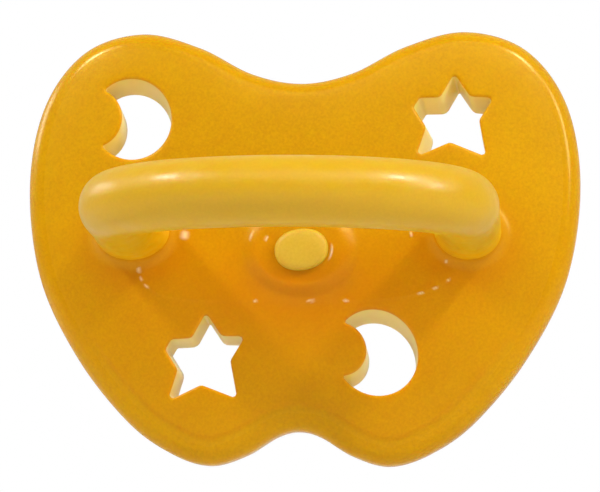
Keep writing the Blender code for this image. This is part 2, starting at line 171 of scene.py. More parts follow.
# Teat: stations are (y, half width, half height, middle z).
TEAT_SIDES = 72
TEAT_SEAM_Y = 13.0
TEAT_TIP_Y = 34.8
TEAT_TIP_Z = 2.6
TEAT_WALL = 1.5
DOME_STEPS = 18
SHANK_STATIONS = (
    (4.9, 7.3, 7.2, 0.0), (5.7, 7.3, 7.2, 0.0), (6.15, 7.0, 6.9, 0.0), (6.35, 6.5, 6.3, 0.0),
    (6.8, 5.75, 5.5, 0.0), (7.9, 5.2, 4.9, 0.0), (10.0, 4.95, 4.55, 0.0), (13.0, 4.9, 4.4, 0.0),
)
SHANK_BORE = ((6.6, 1.2, 1.0, 0.0), (7.0, 3.0, 2.7, 0.0), (9.0, 3.4, 3.0, 0.0), (13.0, 3.4, 2.9, 0.0))
BULB_STATIONS = (
    (13.0, 4.9, 4.4, 0.0), (17.6, 5.3, 4.65, 0.1), (20.5, 6.1, 4.85, 0.3), (24.0, 7.3, 5.05, 0.8),
    (27.5, 7.6, 4.9, 1.5),
)

# Painted shade: deeper orange painted where shadow falls, below the handle and boss, towards the bottom of
# the plate, along the crease and under the legs; its shares, and where each lies.
BOSS_SHADE = 0.58
BOSS_SHADE_Z = -3.5
BOSS_SHADE_SPREAD = (13.0, 5.5)      # in x and z
LOW_SHADE = 0.2              # grows from the first height down to the second
LOW_SHADE_FADE = (14.0, -18.0)
BORDER_FADE = 0.7            # this share of it is lost between the crease and the edge
BORDER_WIDTH = 0.25
CREASE_LINE_SHADE = 0.13
ROOT_SHADE = 0.32
ROOT_SHADE_REACH = 1.8
ROOT_SHADE_DROP = 0.8        # it lies a little below each leg

# Colours, linear.
SHIELD_DEEP = (0.61, 0.295, 0.0)
SHIELD_LIGHT = (0.73, 0.385, 0.0)
# deep orange of the painted shade
SHIELD_PAINTED_SHADE = (0.66, 0.19, 0.0)
HANDLE_DEEP = (0.67, 0.385, 0.0)
HANDLE_LIGHT = (0.72, 0.42, 0.0)
PLUG_DEEP = (0.63, 0.4, 0.02)
PLUG_LIGHT = (0.7, 0.46, 0.03)
# vents' walls painted paler: a painted glow of light through the rubber
PAINTED_WALL_GLOW = (0.9, 0.72, 0.2)
# shield-like tone of the legs' roots, painted brighter to stand for light scattered through the rubber
ROOT_TONE_AND_GLOW = (0.9, 0.5, 0.0)
# pale colour of the painted glints
PAINTED_GLINT = (0.95, 0.72, 0.42)
AMBER_TINT = (1.0, 0.8, 0.3)
HONEY_TINT = (1.0, 0.97, 0.86)

# Finishes: roughness and specular level.
AMBER_FINISH = (0.32, 0.35)
HONEY_FINISH = (0.3, 0.5)
PLUG_FINISH = (0.4, 0.3)
TEAT_FINISH = (0.38, 0.27)
RIM_ROUGHNESS = 0.22

# Rubber's texture: noises as (waves per metre, detail), bumps as (strength, height in metres).
CLOUDS = (110.0, 3.0)
SPECKLE = (4200.0, 1.0)
SPECKLE_SHARE = 0.6
GRAIN = (2600.0, 2.0)
GRAIN_BUMP = (0.35, 0.00003)
SWELL = (330.0, 2.0)
SWELL_BUMP = (0.3, 0.0001)
PATCHES = (600.0, 2.0)       # duller and glossier patches
PATCH_RANGE = (-0.02, 0.16)  # what they add to the roughness
SUBSURFACE = 0.8
SUBSURFACE_DEPTH = 0.0009
SUBSURFACE_COLOURS = (1.0, 0.5, 0.1)
SHARP_ANGLE = math.radians(75.0)

# Camera: degrees right of the shield's axis, above it, and of roll; aim in mm.
CAMERA_SIDE = 4.0
CAMERA_RISE = -8.5
CAMERA_ROLL = 0.5
CAMERA_DISTANCE = 230.0
CAMERA_LENS = 151.5
CAMERA_AIM = (0.23, 0.09)
FLOOR_Z = -45.0
FLOOR_REACH = 3.0            # in metres
FLOOR_COLOUR = (0.74, 0.74, 0.73)
WORLD_FRONT = 0.31           # the studio glows softly, and more from behind the object
WORLD_BACK = 0.5

# Studio lamps: name, place, aim, size in metres, and power in watts.
LAMPS = (
    ("key_front", (0.05, -0.5, 0.45), (0.0, 0.0, 0.0), (0.45, 0.3), 0.8),
    ("side_left", (-0.39, -0.27, 0.42), (0.0, -0.01, 0.0), (0.07, 0.07), 1.5),
    ("side_right", (0.36, -0.315, 0.427), (0.0, -0.01, 0.0), (0.07, 0.07), 1.5),
    ("edge_left", (-0.55, 0.12, 0.26), (0.0, 0.0, 0.0), (0.26, 0.16), 0.8),
    ("edge_right", (0.5, -0.25, 0.26), (0.0, 0.0, 0.0), (0.06, 0.2), 1.0),
    ("back_fill", (0.15, 0.6, -0.02), (0.0, 0.0, 0.0), (0.6, 0.4), 0.3),
)


# ---------------------------------------------------------------- outlines

def arc(centre, radius, start, stop, steps):
    """Points on a circle, both ends included; angles in radians."""
    turns = np.linspace(start, stop, steps + 1)
    return [(centre[0] + radius * math.cos(t), centre[1] + radius * math.sin(t)) for t in turns]


def smooth(before, start, end, after, t):
    """A point on the Catmull-Rom curve from start to end."""
    a, b, c, d = (np.array(p, float) for p in (before, start, end, after))
    return 0.5 * (2 * b + (c - a) * t + (2 * a - 5 * b + 4 * c - d) * t ** 2
                  + (3 * b - a - 3 * c + d) * t ** 3)


def resample(points, spacing):
    """Even points round a closed polygon."""
    points = np.array(points, float)
    ring = np.vstack([points, points[:1]])
    steps = np.linalg.norm(np.diff(ring, axis=0), axis=1)
    along = np.concatenate([[0.0], np.cumsum(steps)])
    count = int(round(along[-1] / spacing))
    wanted = np.linspace(0.0, along[-1], count, endpoint=False)
    return np.column_stack([np.interp(wanted, along, ring[:, k]) for k in (0, 1)])


def outward_normals(points):
    """Unit normals that point out of a closed polygon, whichever way it runs."""
    x, z = points[:, 0], points[:, 1]
    area = np.sum(x * np.roll(z, -1) - np.roll(x, -1) * z)
    along = np.roll(points, -1, axis=0) - np.roll(points, 1, axis=0)
    along /= np.linalg.norm(along, axis=1)[:, None]
    normals = np.column_stack([along[:, 1], -along[:, 0]])
    return normals * math.copysign(1.0, area)


def shield_outline():
    left = [(-x, z) for x, z in reversed(SHIELD_GUIDES[1:-1])]
    guides = list(SHIELD_GUIDES) + left
    count = len(guides)
    curve = []
    for i in range(count):
        four = [guides[(i + k) % count] for k in (-1, 0, 1, 2)]
        curve += [smooth(*four, t) for t in np.linspace(0.0, 1.0, 12, endpoint=False)]
    return resample(curve, OUTLINE_SPACING)


def rounded(corners, radii, steps):
    """Round every corner of a polygon with an arc of its own radius."""
    count = len(corners)
    outline = []
    for i in range(count):
        corner = Vector(corners[i])
        back = (Vector(corners[i - 1]) - corner).normalized()
        ahead = (Vector(corners[(i + 1) % count]) - corner).normalized()
        half = back.angle(ahead) / 2.0
        reach = radii[i] / math.tan(half)
        middle = corner + (back + ahead).normalized() * radii[i] / math.sin(half)
        first = corner + back * reach - middle
        last = corner + ahead * reach - middle
        for k in range(steps + 1):
            spoke = first.lerp(last, k / steps).normalized() * radii[i]
            outline.append(tuple(middle + spoke))
    return outline


def star_outline(centre):
    corners = []
    for reach, angle, _ in STAR_CORNERS:
        turn = math.radians(angle)
        corners.append((centre[0] + reach * math.cos(turn), centre[1] + reach * math.sin(turn)))
    radii = [rounding for _, _, rounding in STAR_CORNERS]
    return resample(rounded(corners, radii, 8), VENT_SPACING)


def crescent_outline(centre, bite_radius, bite_shift):
    """A disc less a bite on its left; small arcs round the two horns."""
    disc = Vector(centre)
    shift = Vector(bite_shift)
    bite = disc + shift
    facing = math.atan2(shift.y, shift.x)
    apart = shift.length
    to_disc = CRESCENT_RADIUS - CRESCENT_HORN
    to_bite = bite_radius + CRESCENT_HORN
    spread = math.acos((to_disc ** 2 + apart ** 2 - to_bite ** 2) / (2 * to_disc * apart))
    lean = math.acos((to_bite ** 2 + apart ** 2 - to_disc ** 2) / (2 * to_bite * apart))
    outer = arc(disc, CRESCENT_RADIUS, facing + spread, facing + 2 * math.pi - spread, 60)
    bitten = arc(bite, bite_radius, facing + math.pi + lean, facing + math.pi - lean, 24)
    horns = []
    for side in (-1.0, 1.0):
        middle = disc + Vector((math.cos(facing + side * spread), math.sin(facing + side * spread))) * to_disc
        out = facing + side * spread
        into = facing + math.pi - side * lean + math.pi
        turn = (into - out + math.pi) % (2 * math.pi) - math.pi
        horns.append(arc(middle, CRESCENT_HORN, out, out + turn, 6))
    first_horn, last_horn = horns
    outline = outer + first_horn + bitten + list(reversed(last_horn))
    long_axis = Vector((math.cos(CRESCENT_LONG_AXIS), math.sin(CRESCENT_LONG_AXIS)))
    cross_axis = Vector((long_axis.y, -long_axis.x))
    stretched = []
    for point in outline:
        reach = Vector(point) - disc
        stretched.append(disc + long_axis * reach.dot(long_axis) * CRESCENT_STRETCH[0]
                         + cross_axis * reach.dot(cross_axis) * CRESCENT_STRETCH[1])
    return resample(stretched, VENT_SPACING * 0.8)


# ---------------------------------------------------------------- shield

def smoothstep(low, high, value):
    t = np.clip((value - low) / (high - low), 0.0, 1.0)
    return t * t * (3.0 - 2.0 * t)


def bow_y(points):
    """Y of the plate's plain bowed face at points (x, z)."""
    return (SHIELD_FRONT_Y + points[:, 0] ** 2 / (2 * BOW_RADIUS_X)
            + points[:, 1] ** 2 / (2 * BOW_RADIUS_Z))


def distance_to(points, loop):
    """Distance from each point to the nearest point of a loop."""
    best = np.full(len(points), 1e9)
    for chunk in np.array_split(loop, max(1, len(loop) // 64)):
        gap = np.linalg.norm(points[:, None, :] - chunk[None, :, :], axis=2).min(axis=1)
        best = np.minimum(best, gap)
    return best


def inside(points, loop):
    """Which points lie inside a closed loop."""
    hit = np.zeros(len(points), bool)
    x, z = points[:, 0], points[:, 1]
    for (ax, az), (bx, bz) in zip(loop, np.roll(loop, -1, axis=0)):
        if az == bz:
            continue
        crossing = ((az > z) != (bz > z)) & (x < (bx - ax) * (z - az) / (bz - az) + ax)
        hit ^= crossing
    return hit


def seam_distance(points):
    """Signed distance to the oval seam, near it."""
    power = np.where(points[:, 0] < 0.0, *SEAM_POWERS)
    u = np.abs(points[:, 0]) / SEAM_HALF_WIDTH
    w = np.abs(points[:, 1] - SEAM_MIDDLE_Z) / SEAM_HALF_HEIGHT
    total = np.maximum(u ** power + w ** power, 1e-9)
    value = total ** (1.0 / power)
    slope_u = (u / value) ** (power - 1.0) / SEAM_HALF_WIDTH
    slope_w = (w / value) ** (power - 1.0) / SEAM_HALF_HEIGHT
    return (value - 1.0) / np.sqrt(slope_u ** 2 + slope_w ** 2)


def front_relief(points):
    """How far the face stands out, towards -Y, for the collar and the seam."""
    x, z = points[:, 0], points[:, 1]
    across = np.hypot(x - COLLAR_SHIFT_X, z / COLLAR_SQUASH)
    inner_edge, outer_edge = COLLAR_EDGE
    top = COLLAR_HEIGHT + (COLLAR_EDGE_HEIGHT - COLLAR_HEIGHT) * smoothstep(0.0, inner_edge, across)
    foot = COLLAR_FOOT_HEIGHT * (1.0 - smoothstep(inner_edge, COLLAR_FOOT, across))
    fall = 1.0 - smoothstep(inner_edge, outer_edge, across)
    collar = foot + (top - foot) * fall + BEAD_HEIGHT * bead_share(points)
    leg_gap = leg_distance(points) + 0.05
    near = np.clip(LEG_FILLET - np.maximum(leg_gap, 0.0), 0.0, LEG_FILLET)
    fillet = LEG_FILLET - np.sqrt(LEG_FILLET ** 2 - near ** 2)
    ridge = SEAM_RIDGE * seam_share(points)
    step = SEAM_STEP * smoothstep(-SEAM_STEP_WIDTH, SEAM_STEP_WIDTH, -seam_distance(points))
    return np.maximum(collar, fillet) + ridge + step


def leg_distance(points):
    """About how far each point lies outside the nearer leg."""
    x, z = points[:, 0], points[:, 1]
    half_width = np.where(x < 0.0, *LEG_HALF_WIDTHS)
    across = np.hypot((np.abs(x) - ROOT_X) / half_width, (z - HANDLE_Z) / LEG_HALF_HEIGHT)
    return (across - 1.0) * LEG_HALF_HEIGHT


def near_angle(around, angle, half):
    """1 at an angle, fading away past a half angle on both sides; all but the points in degrees."""
    gap = (np.degrees(around) - angle + 180.0) % 360.0 - 180.0
    return np.exp(-(gap / half) ** 4)


def bead_share(points):
    """How much of a bead stands at each point of the collar."""
    x, z = points[:, 0] - COLLAR_SHIFT_X, points[:, 1] / COLLAR_SQUASH
    share = np.zeros(len(points))
    for radius, angle, half, width in BEADS:
        across = np.exp(-((np.hypot(x, z) - radius) / width) ** 2)
        share = np.maximum(share, across * near_angle(np.arctan2(z, x), angle, half))
    return share


def seam_share(points):
    """How much of the seam's broken ridge stands at each point."""
    around = np.arctan2(points[:, 1] - SEAM_MIDDLE_Z, points[:, 0])
    broken = np.full(len(points), SEAM_FAINT)
    for angle, half in SEAM_GLINT_RIDGES:
        broken = np.maximum(broken, near_angle(around, angle, half))
    return broken * np.exp(-(seam_distance(points) / SEAM_RIDGE_WIDTH) ** 2)


def core_depth(points):
    """How much painted shade each point takes: most below the boss and under the legs, where shadow falls,
    more towards the bottom, with a dark painted line along the crease.
    """
    x, _, z = np.array(points).T
    wide, high = BOSS_SHADE_SPREAD
    boss = np.exp(-((x / wide) ** 2 + ((z - BOSS_SHADE_Z) / high) ** 2))
    low = smoothstep(*LOW_SHADE_FADE, z)
    from_leg = leg_distance(np.column_stack([x, z + ROOT_SHADE_DROP]))
    root = np.exp(-(np.maximum(from_leg, 0.0) / ROOT_SHADE_REACH) ** 2)
    past_crease = distance_to(np.column_stack([x, z]), shield_outline()) - CREASE_INSET
    crease = smoothstep(*CREASE_FADE, z)
    border = crease * smoothstep(BORDER_WIDTH, -BORDER_WIDTH, past_crease)
    line = crease * np.exp(-(past_crease / BORDER_WIDTH) ** 2)
    return np.clip(BOSS_SHADE * boss + LOW_SHADE * low * (1.0 - BORDER_FADE * border)
                   + CREASE_LINE_SHADE * line + ROOT_SHADE * root, 0.0, 1.0)


def joint_share(points):
    """1 where the plate meets a leg, fading out over its fillet."""
    x, _, z = np.array(points).T
    return 1.0 - smoothstep(*PLATE_JOINT_FADE, leg_distance(np.column_stack([x, z])))


def fleck_share(points):
    """Painted glints: pale colour on the front's beads and on the seam's raised bits."""
    x, y, z = np.array(points).T
    flat = np.column_stack([x, z])
    front = y < bow_y(flat) + 0.3
    return np.clip(bead_share(flat) + seam_share(flat) - SEAM_FAINT, 0.0, 1.0) * front


def edge_roll(edge_distance, z):
    """How far the face falls back near its edge; low on the plate it also has a small step."""
    near = 1.0 - np.clip(edge_distance / EDGE_ROLL_WIDTH, 0.0, 1.0)
    step = smoothstep(CREASE_INSET + CREASE_WIDTH / 2, CREASE_INSET - CREASE_WIDTH / 2, edge_distance)
    return EDGE_ROLL_DEPTH * near ** 2 + CREASE_DEPTH * step * smoothstep(*CREASE_FADE, z)


def seam_points():
    """Rows of points on both sides of the seam, close enough to carry its ridge."""
    turns = np.linspace(0.0, 2.0 * math.pi, 300, endpoint=False)
    rows = []
    for offset in SEAM_ROWS:
        c, s = np.cos(turns), np.sin(turns)
        power = np.where(c < 0.0, *SEAM_POWERS)
        x = (SEAM_HALF_WIDTH + offset) * np.sign(c) * np.abs(c) ** (2.0 / power)
        z = (SEAM_HALF_HEIGHT + offset) * np.sign(s) * np.abs(s) ** (2.0 / power)
        rows.append(resample(np.column_stack([x, z + SEAM_MIDDLE_Z]), SEAM_SPACING))
    return np.vstack(rows)


def crease_points(outer):
    """Rows of points along the step inside the plate's edge."""
    inward = -outward_normals(outer)
    rows = [outer + inward * (CREASE_INSET + offset) for offset in CREASE_ROWS]
    return np.vstack([resample(row, CREASE_SPACING) for row in rows])


def collar_points():
    """Oval rings of points that carry the collar."""
    radii = list(np.arange(0.6, 2.6, 0.4)) + list(np.arange(2.6, 3.3, 0.07))
    radii += list(np.arange(3.35, COLLAR_FOOT, 0.2))
    rings = []
    for radius in radii:
        turns = np.linspace(0.0, 2.0 * math.pi, 110, endpoint=False)
        rings.append(np.column_stack([COLLAR_SHIFT_X + radius * np.cos(turns),
                                      COLLAR_SQUASH * radius * np.sin(turns)]))
    return np.vstack(rings)


def bead_middles():
    """Places of the beads that lie off the collar."""
    places = []
    for radius, angle, _, _ in BEADS:
        turn = math.radians(angle)
        if radius > COLLAR_FOOT:
            places.append((COLLAR_SHIFT_X + radius * math.cos(turn),
                           COLLAR_SQUASH * radius * math.sin(turn)))
    return np.array(places)


def bead_points():
    """Small discs of close points that carry the beads off the collar."""
    rings = []
    for middle in bead_middles():
        for reach in np.arange(0.0, BEAD_PATCH, 0.09):
            rings.append(arc(middle, reach, 0.0, 2.0 * math.pi, 6 + int(reach * 60))[:-1])
    return np.unique(np.round(np.vstack(rings), 4), axis=0)


def fillet_points():
    """Rings of points round each leg that carry the fillet at its root."""
    rings = []
    turns = np.linspace(0.0, 2.0 * math.pi, 96, endpoint=False)
    for side, half_width in zip((-1.0, 1.0), LEG_HALF_WIDTHS):
        for turn in np.linspace(0.0, math.pi / 2.0, LEG_FILLET_RINGS):
            share = 1.0 + (LEG_FILLET * (1.0 - math.sin(turn)) - 0.05) / LEG_HALF_HEIGHT
            rings.append(np.column_stack([side * ROOT_X + half_width * share * np.cos(turns),
                                          HANDLE_Z + LEG_HALF_HEIGHT * share * np.sin(turns)]))
    return np.vstack(rings)


def grid_points(loops, spacing):
    """A triangular grid that keeps clear of the outline and of the holes."""
    low = loops[0].min(axis=0)
    high = loops[0].max(axis=0)
    rows = np.arange(low[1], high[1], spacing * math.sqrt(0.75))
    points = []
    for k, z in enumerate(rows):
        x = np.arange(low[0] + (k % 2) * spacing / 2.0, high[0], spacing)
        points.append(np.column_stack([x, np.full(len(x), z)]))
    points = np.vstack(points)
    keep = inside(points, loops[0])
    for hole in loops[1:]:
        keep &= ~inside(points, hole)
    for loop in loops:
        keep &= distance_to(points, loop) > spacing * GRID_CLEARANCE
    return points[keep]


def triangulate(loops, inner):
    """Triangles over the region between loops; indices count the loops' points, then inner."""
    starts = np.cumsum([0] + [len(loop) for loop in loops])
    points = np.vstack(list(loops) + [inner])
    edges = []
    for start, loop in zip(starts, loops):
        count = len(loop)
        edges += [(int(start + i), int(start + (i + 1) % count)) for i in range(count)]
    result = delaunay_2d_cdt([Vector(p) for p in points], edges, [], 1, 1e-6)
    placed, _, triangles, origins = result[0], result[1], result[2], result[3]
    back = [o[0] for o in origins]
    middles = np.array([[sum(placed[i][k] for i in t) / 3.0 for k in (0, 1)] for t in triangles])
    keep = inside(middles, loops[0])
    for hole in loops[1:]:
        keep &= ~inside(middles, hole)
    return [tuple(back[i] for i in t) for t, good in zip(triangles, keep) if good]


def edge_profile(rim, back_rim, steps):
    """From the front face to the back: how far in from the outline, and how deep."""
    turns = np.linspace(0.0, math.pi / 2.0, steps + 1)
    profile = [(rim * (1 - math.sin(t)), rim * (1 - math.cos(t))) for t in turns]
    for k in range(1, WALL_STEPS):
        profile.append((0.0, rim + (SHIELD_THICKNESS - back_rim - rim) * k / WALL_STEPS))
    profile += [(back_rim * (1 - math.cos(t)), SHIELD_THICKNESS - back_rim * (1 - math.sin(t)))
                for t in turns]
    return profile


def front_points(borders, outer, holes):
    """The face's inner points: a plain grid, with finer ones wherever it has relief."""
    inner = grid_points(borders, FRONT_GRID)
    inner = inner[np.abs(seam_distance(inner)) > SEAM_GAP]
    inner = inner[np.abs(distance_to(inner, outer) - CREASE_INSET) > CREASE_GAP]
    crease = crease_points(outer)
    for hole in holes:
        crease = crease[distance_to(crease, hole) > CREASE_VENT_GAP]
    inner = np.vstack([inner, seam_points(), crease])
    inner = inner[distance_to(inner, bead_middles()) > BEAD_PATCH]
    inner = inner[leg_distance(inner) > LEG_FILLET + 0.15]
    from_plug = np.hypot(inner[:, 0] - COLLAR_SHIFT_X, inner[:, 1] / COLLAR_SQUASH)
    inner = inner[from_plug > COLLAR_FOOT + 0.1]
    return np.vstack([inner, fillet_points(), collar_points(), bead_points()])


def make_shield_mesh():
    """The plate with rounded edges and tapering vents. Returns points, faces and marks."""
    outer = shield_outline()
    holes = [crescent_outline(*shape) for *shape, _ in CRESCENTS]
    holes += [star_outline(centre) for centre, _ in STARS]
    leans = [(0.0, 0.0)] + [vent[-1] for vent in CRESCENTS + STARS]
    loops = [outer] + holes
    into = [-outward_normals(outer)] + [outward_normals(hole) for hole in holes]
    points = []
    faces = []
    wall = []
    rim_mark = []
    front_rings = []
    back_rings = []
    for number, (loop, normals, lean) in enumerate(zip(loops, into, leans)):
        vent = number > 0
        rim = VENT_RIM if vent else FRONT_RIM
        back_rim = VENT_RIM if vent else BACK_RIM
        steps = VENT_RIM_STEPS if vent else RIM_STEPS
        taper = VENT_TAPER if vent else 0.0
        lean = np.array(lean)
        starts = []
        for inward, depth in edge_profile(rim, back_rim, steps):
            slide = inward - taper * depth / SHIELD_THICKNESS
            ring = loop + normals * slide + lean * depth / SHIELD_THICKNESS
            from_edge = distance_to(ring, outer) if vent else np.full(len(ring), inward)
            roll = edge_roll(from_edge, ring[:, 1])
            fade = 1.0 - depth / SHIELD_THICKNESS
            y = bow_y(ring) + depth + roll * fade
            starts.append(len(points))
            points += [(x, yy, z) for (x, z), yy in zip(ring, y)]
            flat = min(depth, SHIELD_THICKNESS - depth) < 0.8 * rim
            # the vents' walls are marked to be painted paler, as painted light
            wall += [0.0 if (flat or not vent) else 1.0] * len(ring)
            rim_mark += [0.0 if (vent or depth > SHIELD_THICKNESS / 2) else 1.0] * len(ring)
        count = len(loop)
        for a, b in zip(starts, starts[1:]):
            faces += [(a + i, a + (i + 1) % count, b + (i + 1) % count, b + i) for i in range(count)]
        front_rings.append((starts[0], loop + normals * rim))
        back_rings.append((starts[-1], loop + normals * (back_rim - taper) + lean))

    for rings, front in ((front_rings, True), (back_rings, False)):
        borders = [ring for _, ring in rings]
        inner = front_points(borders, outer, holes) if front else grid_points(borders, BACK_GRID)
        index = []
        for start, ring in rings:
            index += list(range(start, start + len(ring)))
        index += list(range(len(points), len(points) + len(inner)))
        if front:
            y = bow_y(inner) + edge_roll(distance_to(inner, outer), inner[:, 1]) - front_relief(inner)
        else:
            y = bow_y(inner) + SHIELD_THICKNESS
        points += [(x, yy, z) for (x, z), yy in zip(inner, y)]
        wall += [0.0] * len(inner)
        rim_mark += [0.0] * len(inner)
        faces += [tuple(index[i] for i in t) for t in triangulate(borders, inner)]
    return points, faces, {"wall": wall, "rim": rim_mark}


# ---------------------------------------------------------------- building meshes

def add_mesh(name, points, faces, marks=None):
    """One closed smooth mesh from millimetres; marks are values stored on its points."""
    mesh = bpy.data.meshes.new(name)
    mesh.from_pydata([tuple(c * MM for c in p) for p in points], [], faces)
    shape = bmesh.new()
    shape.from_mesh(mesh)
    bmesh.ops.recalc_face_normals(shape, faces=shape.faces)
    shape.to_mesh(mesh)
    shape.free()
    for label, values in (marks or {}).items():
        layer = mesh.attributes.new(label, "FLOAT", "POINT")
        layer.data.foreach_set("value", np.array(values, np.float32))
    mesh.shade_smooth()
    mesh.set_sharp_from_angle(angle=SHARP_ANGLE)
    piece = bpy.data.objects.new(name, mesh)
    bpy.context.scene.collection.objects.link(piece)
    return piece


def skin(rings, start, end):
    """Points and faces over rings of equal size, closed by a pole at each end."""
    count = len(rings[0])
    points = [tuple(p) for ring in rings for p in ring]
    faces = []
    for a, b in zip(range(len(rings) - 1), range(1, len(rings))):
        for i in range(count):
            j = (i + 1) % count
            faces.append((a * count + i, a * count + j, b * count + j, b * count + i))
    for pole, first in ((start, 0), (end, (len(rings) - 1) * count)):
        points.append(tuple(pole))
        tip = len(points) - 1
        faces += [(first + i, first + (i + 1) % count, tip) for i in range(count)]
    return points, faces


# ---------------------------------------------------------------- handle, plug and teat

def tube_ring(x, y, along, half_width=TUBE_RADIUS, half_height=TUBE_RADIUS):
    """A ring across the handle's path; it starts on the inner side of the bow."""
    turns = np.linspace(0.0, 2.0 * math.pi, TUBE_SIDES, endpoint=False)
    out = half_width * np.cos(turns)
    up = half_height * np.sin(turns)
    return [(x - along.y * o, y + along.x * o, HANDLE_Z + u) for o, u in zip(out, up)]


def make_handle():
    """The ring handle, whose legs flare into the shield. The root mark is 1 at the shield."""
    foot_y = float(bow_y(np.array([[ROOT_X, HANDLE_Z]]))[0]) + LEG_SINK
    legs = []
    for side, root_half_width in zip((-1.0, 1.0), LEG_HALF_WIDTHS):
        leg = []
        for t in np.linspace(0.0, 1.0, LEG_STEPS, endpoint=False):
            share = float(smoothstep(0.1, 0.75, t))
            leg.append(tube_ring(side * (ROOT_X + (HANDLE_HALF_WIDTH - ROOT_X) * t),
                                 foot_y + (LEG_END_Y - foot_y) * t, Vector((0.0, side)),
                                 root_half_width + (TUBE_RADIUS - root_half_width) * share,
                                 LEG_HALF_HEIGHT + (TUBE_RADIUS - LEG_HALF_HEIGHT) * share))
        legs.append(leg)
    bow = []
    depth = LEG_END_Y - HANDLE_FRONT_Y
    for turn in np.linspace(0.0, math.pi, BOW_STEPS + 1):
        along = Vector((HANDLE_HALF_WIDTH * math.sin(turn), -depth * math.cos(turn))).normalized()
        bow.append(tube_ring(-HANDLE_HALF_WIDTH * math.cos(turn),
                             LEG_END_Y - depth * math.sin(turn), along))
    points, faces = skin(legs[0] + bow + list(reversed(legs[1])),
                         (-ROOT_X, foot_y, HANDLE_Z), (ROOT_X, foot_y, HANDLE_Z))
    y = np.array([p[1] for p in points])
    # the root mark carries the legs' shield-like tone and its painted glow
    marks = {"root": smoothstep(*ROOT_TONE_AND_GLOW_FADE, y), "joint": smoothstep(*LEG_JOINT_FADE, y)}
    return add_mesh("handle_ring", points, faces, marks)


def make_plug():
    """The bonded plug: a low oval button, set a little off the middle and turned a little."""
    rings = []
    for scale, y in PLUG_PROFILE:
        ring = []
        for t in np.linspace(0.0, 2.0 * math.pi, 48, endpoint=False):
            c, s = math.cos(t), math.sin(t)
            x = PLUG_HALF_WIDTH * scale * math.copysign(abs(c) ** PLUG_FULLNESS, c)
            z = PLUG_HALF_HEIGHT * scale * math.copysign(abs(s) ** PLUG_FULLNESS, s)
            turned = (x * math.cos(PLUG_TURN) - z * math.sin(PLUG_TURN),
                      x * math.sin(PLUG_TURN) + z * math.cos(PLUG_TURN))
            ring.append((turned[0] + PLUG_SHIFT[0], y, turned[1] + PLUG_SHIFT[1]))
        rings.append(ring)
    points, faces = skin(rings, (PLUG_SHIFT[0], PLUG_PROFILE[0][1], PLUG_SHIFT[1]),
                         (PLUG_SHIFT[0], 0.0, PLUG_SHIFT[1]))
    return add_mesh("plug_button", points, faces)


def curve_stations(stations, span_points):
    """Stations (y, half width, half height, z) along a smooth curve, ends included."""
    last = len(stations) - 1
    fine = []
    for i in range(last):
        four = [stations[min(max(i + k, 0), last)] for k in (-1, 0, 1, 2)]
        fine += [smooth(*four, t) for t in np.linspace(0.0, 1.0, span_points, endpoint=False)]
    return fine + [np.array(stations[last], float)]


def oval(y, half_width, half_height, z=0.0):
    turns = np.linspace(0.0, 2.0 * math.pi, TEAT_SIDES, endpoint=False)
    return [(half_width * math.cos(t), y, z + half_height * math.sin(t)) for t in turns]


def teat_seam_share(points):
    """1 where the teat's two meshes meet, fading out on both sides."""
    return np.exp(-(np.array(points)[:, 1] - TEAT_SEAM_Y) ** 2)


def make_teat_shank():
    """The teat's root: a flange on the shield's back and the hollow neck that grows out of it."""
    outside = curve_stations(SHANK_STATIONS, 8)
    bore = curve_stations(SHANK_BORE, 6)
    rings = [oval(*s) for s in outside] + [oval(*s) for s in reversed(bore)]
    points, faces = skin(rings, (0.0, SHANK_STATIONS[0][0], 0.0), (0.0, SHANK_BORE[0][0], 0.0))
    return add_mesh("teat_shank", points, faces, {"joint": teat_seam_share(points)})


def dome(wall):
    """Rings of the bulb a wall inside its skin, from the seam to near the tip."""
    stations = [(y, w - wall, h - wall, z) for y, w, h, z in curve_stations(BULB_STATIONS, 8)]
    widest_y, half_width, half_height, middle_z = stations[-1]
    rings = [oval(*s) for s in stations]
    for turn in np.linspace(0.0, math.pi / 2.0, DOME_STEPS + 1)[1:-1]:
        rings.append(oval(widest_y + (TEAT_TIP_Y - wall - widest_y) * math.sin(turn),
                          half_width * math.cos(turn), half_height * math.cos(turn),
                          middle_z + (TEAT_TIP_Z - middle_z) * math.sin(turn)))
    return rings


def make_teat_skin():
    """The hollow, flattened bulb with its part of the neck."""
    rings = list(reversed(dome(0.0))) + dome(TEAT_WALL)
    points, faces = skin(rings, (0.0, TEAT_TIP_Y, TEAT_TIP_Z), (0.0, TEAT_TIP_Y - TEAT_WALL, TEAT_TIP_Z))
    return add_mesh("teat_skin", points, faces, {"joint": teat_seam_share(points)})


# ---------------------------------------------------------------- materials

def noise(nodes, links, place, scale, detail):
    """A noise that is fixed to the object."""
    texture = nodes.new("ShaderNodeTexNoise")
    texture.inputs["Scale"].default_value = scale
    texture.inputs["Detail"].default_value = detail
    links.new(place.outputs["Object"], texture.inputs["Vector"])
    return texture.outputs["Fac"]


def bump(nodes, links, height, strength, distance):
    node = nodes.new("ShaderNodeBump")
    node.inputs["Strength"].default_value = strength
    node.inputs["Distance"].default_value = distance
    links.new(height, node.inputs["Height"])
    return node


def stored_mark(nodes, mark):
    """A mark's value, from 0 to 1, as stored on the mesh."""
    stored = nodes.new("ShaderNodeAttribute")
    stored.attribute_name = mark
    return stored.outputs["Fac"]


